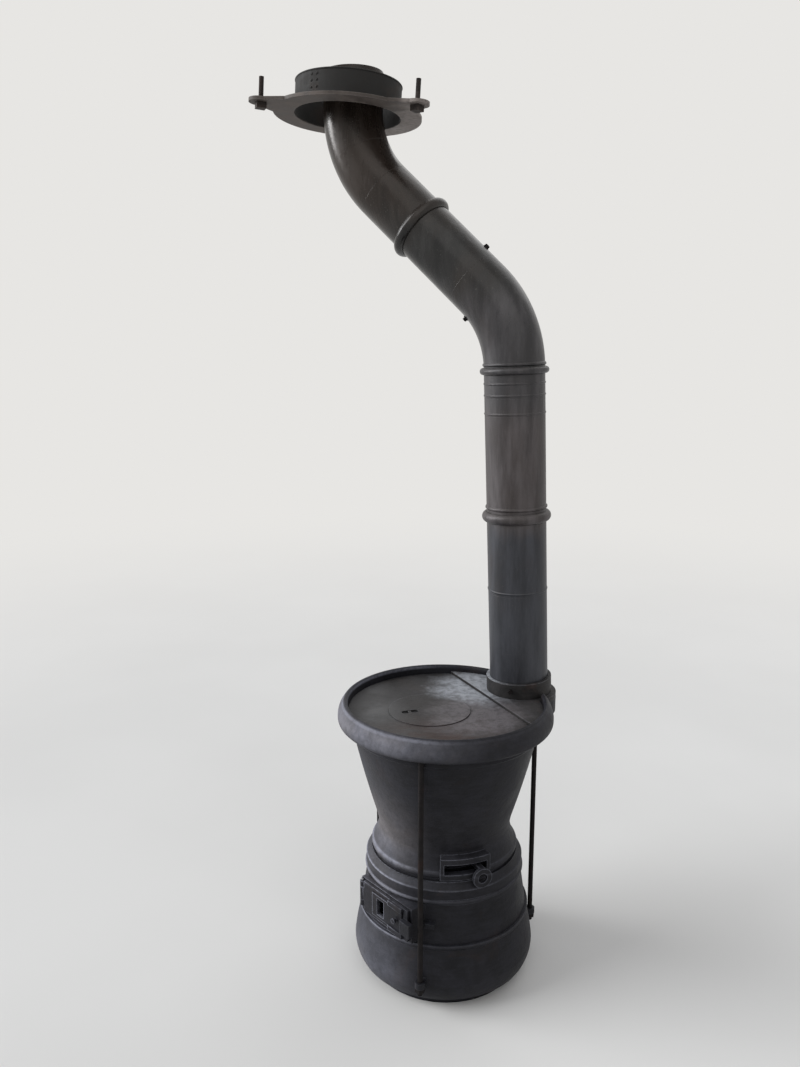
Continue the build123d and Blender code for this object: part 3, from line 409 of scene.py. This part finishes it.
def ring_iron():
    """The ceiling ring, with old ceiling paint on the side away from the pipe's bend."""
    s = Shader("ring_iron")
    patch = s.noise(22.0, 6, 0.65, twist=0.3)
    broad = s.noise(7.0, 5, 0.65, twist=0.5)
    scuff = s.noise(80.0, 5, 0.7)
    tone = s.mix(s.span(patch, 0.35, 0.7), (0.044, 0.034, 0.029), (0.098, 0.080, 0.070))
    painted_side = s.sum(s.x, s.times(s.y, -0.35), s.sway(broad, 0.5))
    paint = s.times(s.span(painted_side, -0.20, -0.10), 0.85, s.span(scuff, 0.30, 0.55, 0.3, 1.0))
    worn = s.times(s.edges(0.004), s.span(scuff, 0.3, 0.6, 0.1, 0.6))
    # Painted shade: darker in tight corners and in the hole, along with the soot there.
    soot_and_shade = s.span(s.corners(0.05), 0.9, 0.35, 0.0, 0.75)
    for factor, color in (
        (paint, (0.235, 0.205, 0.190)),
        (worn, (0.20, 0.18, 0.165)),
        (soot_and_shade, (0.018, 0.014, 0.012)),
    ):
        tone = s.mix(factor, tone, color)
    s.bump((patch, 0.001), (s.noise(330.0, 3, 0.6), 0.0005), first=s.rounded(0.0018))
    return s.finish(tone, s.span(patch, 0.3, 0.7, 0.55, 0.75), specular=0.4)


THREAD_PITCH, THREAD_DEPTH = 0.0018, 0.0005


def dark_steel(name, low, high, rust, rough=(0.4, 0.6), metallic=0.3, threads=(0.0, 0.0), specular=0.5):
    """Dark steel; threads gives the heights between which a thread is cut."""
    s = Shader(name)
    patch = s.noise(45.0, 6, 0.65)
    tone = s.mix(s.span(patch, 0.35, 0.7), low, high)
    tone = s.mix(s.times(s.span(s.noise(18.0, 5, 0.6), 0.52, 0.7), 0.6), tone, rust)
    worn = s.times(s.edges(0.0015), s.span(patch, 0.3, 0.6, 0.2, 0.8))
    tone = s.mix(worn, tone, tuple(c * 3 for c in high))
    turn = s.calc("SINE", s.times(s.z, TURN / THREAD_PITCH))
    start, end = threads
    thread = s.times(turn, s.span(s.z, start - 0.001, start), s.span(s.z, end + 0.001, end))
    grains = (patch, 0.0004), (s.noise(600.0, 2, 0.5), 0.0002), (thread, THREAD_DEPTH)
    s.bump(*grains, first=s.rounded(0.0006))
    return s.finish(tone, s.span(patch, 0.3, 0.7, *rough), metallic, specular)


IRON = stove_black()
TOP_IRON = cook_top()
PIPE = pipe_steel()
RING = ring_iron()
ROD = dark_steel(
    "rod_steel",
    low=(0.0045, 0.0038, 0.0040),
    high=(0.0125, 0.0105, 0.0108),
    rust=(0.019, 0.010, 0.008),
    rough=(0.55, 0.72),
    metallic=0.0,
    threads=(0.05, 0.067),
    specular=0.12,
)
BOLT = dark_steel(
    "bolt_steel",
    low=(0.013, 0.009, 0.008),
    high=(0.034, 0.023, 0.018),
    rust=(0.046, 0.023, 0.014),
    rough=(0.55, 0.75),
    threads=(2.21, 2.4),
)
# Rubbed steel, whose pale tone also paints the glint on the hinge pin's button.
BRIGHT = dark_steel(
    "rubbed_steel_and_glint",
    low=(0.10, 0.10, 0.11),
    high=(0.26, 0.26, 0.28),
    rust=(0.12, 0.08, 0.06),
    rough=(0.3, 0.45),
    metallic=0.6,
)
# Sooty steel, made darker still to paint the shade inside the ring's hole.
SOOTY_SHADED_SLEEVE = dark_steel(
    "sleeve_steel",
    low=(0.006, 0.0055, 0.005),
    high=(0.017, 0.0155, 0.0145),
    rust=(0.022, 0.014, 0.010),
    rough=(0.7, 0.85),
    metallic=0.1,
)

BY_SLOT = {
    "castings": IRON,
    "top_iron": TOP_IRON,
    "stovepipe": PIPE,
    "ring_iron": RING,
    "bolt_steel": BOLT,
    "rod_steel": ROD,
    "sleeve_steel": SOOTY_SHADED_SLEEVE,
}
for subpart in frame["record"]["subparts"]:
    for material_slot in NODES[subpart["node"]].material_slots:
        material_slot.material = BY_SLOT[subpart["material_slot"]]


# ---------------------------------------------------------------- mesh helpers
SMOOTH_BELOW = math.radians(35)  # edges that turn more stay sharp


def add_piece(name, mesh, material, body="stove"):
    """Makes a mesh into a piece of the scene that rides on a body."""
    data = bpy.data.meshes.new(name)
    mesh.normal_update()
    for edge in mesh.edges:
        if len(edge.link_faces) == 2 and edge.calc_face_angle(0) > SMOOTH_BELOW:
            edge.smooth = False
    for face in mesh.faces:
        face.smooth = True
    mesh.to_mesh(data)
    mesh.free()
    data.materials.append(material)
    piece = bpy.data.objects.new(name, data)
    SCENE.collection.objects.link(piece)
    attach(piece, body)
    return piece


def direction_at(azimuth):
    return Vector((math.cos(math.radians(azimuth)), math.sin(math.radians(azimuth)), 0))


def basis(origin, along, side=None):
    """Matrix whose local z runs along a direction."""
    along = along.normalized()
    side = side or (Vector((0, 0, 1)) if abs(along.z) < 0.9 else Vector((1, 0, 0)))
    x = side.cross(along).normalized()
    columns = Matrix((x, along.cross(x), along)).transposed().to_4x4()
    return Matrix.Translation(origin) @ columns


def lathe(mesh, profile, matrix, count):
    """Turns (radius, height) points round local z, in so many steps; a low count makes a polygon."""
    rings = []
    for radius, height in profile:
        steps = count if radius > 1e-7 else 1
        turns = [TURN * i / steps for i in range(steps)]
        points = [Vector((radius * math.cos(t), radius * math.sin(t), height)) for t in turns]
        rings.append([mesh.verts.new(matrix @ point) for point in points])
    for low, high in zip(rings, rings[1:]):
        steps = max(len(low), len(high))
        for i in range(steps):
            j = (i + 1) % steps
            corners = [low[i % len(low)], low[j % len(low)], high[j % len(high)], high[i % len(high)]]
            unique = list(dict.fromkeys(corners))
            if len(unique) > 2:
                mesh.faces.new(unique)


def disc(radius, low, high):
    return [(0, low), (radius, low), (radius, high), (0, high)]


def chamfered(radius, low, high, cut, drop):
    """A disc whose upper edge is cut back by cut and down by drop."""
    return [(0, low), (radius, low), (radius, high - drop), (radius - cut, high), (0, high)]


def sheet_screw(mesh, point, outward):
    """A sheet-metal screw: a hexagon head on a flange, seated on the pipe."""
    place = basis(point, outward)
    lathe(mesh, chamfered(0.0056, -0.002, 0.0012, cut=0.0006, drop=0.0006), place, 24)
    lathe(mesh, chamfered(0.0041, 0.0008, 0.0044, cut=0.0007, drop=0.0008), place, 6)


def square_bolt(mesh, point, outward, twist):
    """A square-headed bolt with a washer, on the clamp of a joint."""
    place = basis(point, outward) @ Matrix.Rotation(math.radians(twist), 4, "Z")
    lathe(mesh, chamfered(0.0078, -0.004, 0.0018, cut=0.0008, drop=0.0006), place, 28)
    lathe(mesh, chamfered(0.0064, 0.0014, 0.0078, cut=0.0010, drop=0.0012), place, 4)


def set_screw(mesh, point, outward):
    """A square-headed set screw, standing out of the collar."""
    place = basis(point, outward)
    lathe(mesh, disc(0.0038, -0.002, 0.003), place, 24)
    lathe(mesh, chamfered(0.0068, 0.0025, 0.0095, cut=0.0008, drop=0.0010), place, 4)


def nut(mesh, matrix, across, height, washer_h=0.0005):
    """A chamfered hexagon nut with a washer face below; across is its width over the flats."""
    corner = across / 2 / math.cos(math.pi / 6)
    lathe(mesh, disc(across * 0.48, 0, washer_h), matrix, 32)
    lathe(mesh, chamfered(corner, washer_h, height, cut=0.0018, drop=0.0016), matrix, 6)


def dome(mesh, point, outward, radius, height, steps=5):
    """A rounded head, sunk 1 mm."""
    bends = [t * math.pi / 2 / steps for t in range(steps)]
    curve = [(radius * math.cos(t), height * math.sin(t)) for t in bends]
    lathe(mesh, [(0, -0.001), (radius, -0.001), *curve, (0, height)], basis(point, outward), 20)


def around(axis_point, direction, azimuth, radius=PIPE_R):
    """Point and outward direction at an azimuth round an axis, on the pipe unless a radius is given."""
    flat = direction_at(azimuth)
    outward = (flat - direction * flat.dot(direction)).normalized()
    return axis_point + outward * radius, outward


# ---------------------------------------------------------------- screws and bolts on the pipe's joints
RISER_SCREWS = [
    # height on the riser, azimuths
    (0.972, (20, 100)),
    (1.160, (30, 110)),
    (1.432, (25, 105)),
    (1.474, (60,)),
]
screws = bmesh.new()
for height, azimuths in RISER_SCREWS:
    for azimuth in azimuths:
        sheet_screw(screws, *around(on_riser(height), RISER, azimuth))
add_piece("pipe_screws", screws, ROD)

ELBOW_BOLTS = [
    # point on the lower bend, outward direction, twist of the square head
    ((0.1347, 0.1147, 1.8512), (0.56, -0.46, 0.68), 20),
    ((0.0862, 0.1163, 1.6805), (-0.70, 0.18, -0.68), 35),
]
bolts = bmesh.new()
for point, outward, twist in ELBOW_BOLTS:
    square_bolt(bolts, Vector(point), Vector(outward), twist)
add_piece("elbow_bolts", bolts, ROD)

PIPE_FIT, COLLAR_T = 0.0004, 0.009
SET_SCREW_Z, SET_SCREW_AZIMUTHS = 0.737, (232, 112)
set_screws = bmesh.new()
for azimuth in SET_SCREW_AZIMUTHS:
    set_screw(set_screws, *around(on_riser(SET_SCREW_Z), RISER, azimuth, PIPE_R + PIPE_FIT + COLLAR_T))
add_piece("collar_screws", set_screws, ROD)

# ---------------------------------------------------------------- nuts on the tie rods, for the plain ones
ROD_CIRCLE, ROD_AZIMUTHS, LUG_Z = 0.250, (238, 358, 118), 0.080
NUT_H, NUT_ACROSS = 0.012, 0.023
nuts = bmesh.new()
for azimuth in ROD_AZIMUTHS:
    place = Matrix.Translation(direction_at(azimuth) * ROD_CIRCLE + UP * LUG_Z)
    place = place @ Matrix.Rotation(math.pi, 4, "X") @ Matrix.Rotation(math.radians(azimuth), 4, "Z")
    nut(nuts, place, NUT_ACROSS, NUT_H)
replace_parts(add_piece("chamfered_nuts", nuts, ROD), "rod_nuts")

# ---------------------------------------------------------------- the hinge pin's rubbed button, pale also as a painted glint
PIN_TOP = Vector((-0.227018, -0.021166, 0.2725))
button = bmesh.new()
dome(button, PIN_TOP, UP, radius=0.0044, height=0.0048)
add_piece("pin_button", button, BRIGHT)

# ---------------------------------------------------------------- rivets and hem of the roof sleeve
RING_SLOPE = 0.06
RING_AT = HIGH_CORNER + Vector((-0.014, 0.003, 0.102))
RING_UP = Vector((RING_SLOPE, 0, 1)).normalized()
RING_X = Vector((1, 0, -RING_SLOPE)).normalized()
SLEEVE_R = 0.1355
HEM_RISE, HEM_IN, HEM_WIRE_R, HEM_STEPS = 0.076, 0.001, 0.0024, 12
RIVET_AZIMUTHS, RIVET_RISES = (215, 222), (0.020, 0.036, 0.052, 0.066)
hem = bmesh.new()
turns = [TURN * t / HEM_STEPS for t in range(HEM_STEPS + 1)]
wire = [(SLEEVE_R - HEM_IN + HEM_WIRE_R * math.cos(t), HEM_WIRE_R * math.sin(t)) for t in turns]
lathe(hem, wire, basis(RING_AT + RING_UP * HEM_RISE, RING_UP, Vector((0, 1, 0))), 96)
bmesh.ops.remove_doubles(hem, verts=hem.verts, dist=1e-6)
for azimuth in RIVET_AZIMUTHS:
    a = math.radians(azimuth)
    outward = RING_X * math.cos(a) + RING_UP.cross(RING_X) * math.sin(a)
    for rise in RIVET_RISES:
        dome(hem, RING_AT + RING_UP * rise + outward * SLEEVE_R, outward, radius=0.0034, height=0.0018)
add_piece("sleeve_rivets", hem, SOOTY_SHADED_SLEEVE)

# ---------------------------------------------------------------- folded lock seams on the straight lengths
# (across, out) points of the fold's section, from the pipe's surface
FOLD = [(-0.0052, -0.0012), (-0.0050, 0.0009), (-0.0040, 0.0013)]
FOLD += [(-across, out) for across, out in reversed(FOLD)]
SEAM_AZIMUTH = 72
RISER_SEAMS = [
    # foot and top, degrees that the length is turned by
    (0.757, 0.983, 0),
    (1.000, 1.170, 9),
    (1.214, 1.441, -7),
]
OBLIQUE_SEAM = (0.152, 0.332)  # distances of its ends from the lower bend's corner


def seam(mesh, start, end, azimuth):
    direction = (end - start).normalized()
    point, outward = around(start, direction, azimuth)
    side = direction.cross(outward).normalized()
    ends = [
        [mesh.verts.new(point + direction * at + side * across + outward * out) for across, out in FOLD]
        for at in (0.0, (end - start).length)
    ]
    for a in range(len(FOLD)):
        b = (a + 1) % len(FOLD)
        mesh.faces.new((ends[0][a], ends[0][b], ends[1][b], ends[1][a]))
    mesh.faces.new(list(reversed(ends[0])))
    mesh.faces.new(ends[1])


seams = bmesh.new()
for foot, top, turned in RISER_SEAMS:
    seam(seams, on_riser(foot), on_riser(top), SEAM_AZIMUTH + turned)
seam(seams, *(LOW_CORNER + OBLIQUE * at for at in OBLIQUE_SEAM), SEAM_AZIMUTH)
bmesh.ops.recalc_face_normals(seams, faces=seams.faces)
add_piece("lock_seams", seams, PIPE)

# ---------------------------------------------------------------- floor and backdrop
BACKDROP = (0.80, 0.79, 0.77)
FLOOR_HALF = 400.0
FADE_FROM, FADE_TO = 1.6, 7.0  # distances over which the floor turns into the backdrop
SKY, SKY_STRENGTH = (0.94, 0.96, 1.0), 0.42


def plain_rays(tree):
    """1 for rays from the camera, mirrors and glass, which see the backdrop's own colour."""
    path = tree.nodes.new("ShaderNodeLightPath")
    total = path.outputs["Is Camera Ray"]
    for name in ("Is Glossy Ray", "Is Transmission Ray"):
        larger = tree.nodes.new("ShaderNodeMath")
        larger.operation = "MAXIMUM"
        tree.links.new(total, larger.inputs[0])
        tree.links.new(path.outputs[name], larger.inputs[1])
        total = larger.outputs[0]
    return total


def pale_floor():
    """A plain floor that fades into the backdrop's colour with distance."""
    s = Shader("pale_floor")
    tone = s.mix(s.span(s.noise(0.8, 3, 0.5), 0.3, 0.7), (0.73, 0.72, 0.70), (0.76, 0.75, 0.73))
    s.finish(tone, s.span(s.noise(3.0, 3, 0.5), 0.3, 0.7, 0.75, 0.85), specular=0.2)
    reach = s.node("ShaderNodeVectorMath", {0: s.place}, operation="LENGTH").outputs["Value"]
    fade = s.times(s.span(reach, FADE_FROM, FADE_TO), plain_rays(s.tree))
    glow = s.node("ShaderNodeEmission", {"Color": (*BACKDROP, 1), "Strength": 1.0})
    blend = s.node("ShaderNodeMixShader", {0: fade, 1: s.surface.outputs[0], 2: glow.outputs[0]})
    s.tree.links.new(blend.outputs[0], s.tree.nodes["Material Output"].inputs["Surface"])
    return s.material


data = bpy.data.meshes.new("floor")
floor_corners = [(x * FLOOR_HALF, y * FLOOR_HALF, 0) for x, y in ((-1, -1), (1, -1), (1, 1), (-1, 1))]
data.from_pydata(floor_corners, [], [(0, 1, 2, 3)])
data.materials.append(pale_floor())
floor = bpy.data.objects.new("floor", data)
SCENE.collection.objects.link(floor)

world = bpy.data.worlds.new("studio")
SCENE.world = world
world.use_nodes = True
tree = world.node_tree
sky = tree.nodes["Background"]
backdrop = tree.nodes.new("ShaderNodeBackground")
for background, color, strength in ((sky, SKY, SKY_STRENGTH), (backdrop, BACKDROP, 1.0)):
    background.inputs["Color"].default_value = (*color, 1)
    background.inputs["Strength"].default_value = strength
blend = tree.nodes.new("ShaderNodeMixShader")
for index, output in enumerate((plain_rays(tree), sky.outputs[0], backdrop.outputs[0])):
    tree.links.new(output, blend.inputs[index])
tree.links.new(blend.outputs[0], tree.nodes["World Output"].inputs["Surface"])

# ---------------------------------------------------------------- light and camera
LIGHTS = [
    # name, azimuth and elevation it comes from, spread in degrees, strength, colour
    ("window_side", 172, 30, 38, 1.9, (0.96, 0.98, 1.0)),
    ("far_window", 150, 11, 20, 1.3, (0.97, 0.985, 1.0)),
    ("front", 262, 38, 60, 0.5, (1.0, 0.99, 0.97)),
    ("far_side", 40, 42, 50, 0.35, (0.97, 0.98, 1.0)),
]
LIGHT_AWAY = 6.0
CAMERA_AT = Vector((-0.7248, -2.0508, 1.585))
LOOK_RIGHT, LOOK_DOWN = math.radians(16.41), math.radians(11.12)
LENS, SENSOR_WIDTH = 30.29, 36.0


def place_in_scene(name, data, location, look):
    """A lamp or camera that looks along a direction."""
    made = bpy.data.objects.new(name, data)
    made.location = location
    made.rotation_mode = "QUATERNION"
    made.rotation_quaternion = look.to_track_quat("-Z", "Y")
    SCENE.collection.objects.link(made)
    return made


for name, azimuth, elevation, spread, strength, color in LIGHTS:
    lamp = bpy.data.lights.new(name, "SUN")
    lamp.angle, lamp.energy, lamp.color = math.radians(spread), strength, color
    e = math.radians(elevation)
    toward = direction_at(azimuth) * math.cos(e) + UP * math.sin(e)
    place_in_scene(name, lamp, toward * LIGHT_AWAY, -toward)

camera_data = bpy.data.cameras.new("camera")
camera_data.sensor_width, camera_data.lens = SENSOR_WIDTH, LENS
level = Vector((math.sin(LOOK_RIGHT), math.cos(LOOK_RIGHT), 0))
look = level * math.cos(LOOK_DOWN) - UP * math.sin(LOOK_DOWN)
SCENE.camera = place_in_scene("camera", camera_data, CAMERA_AT, look)
SCENE.view_settings.view_transform = "Standard"
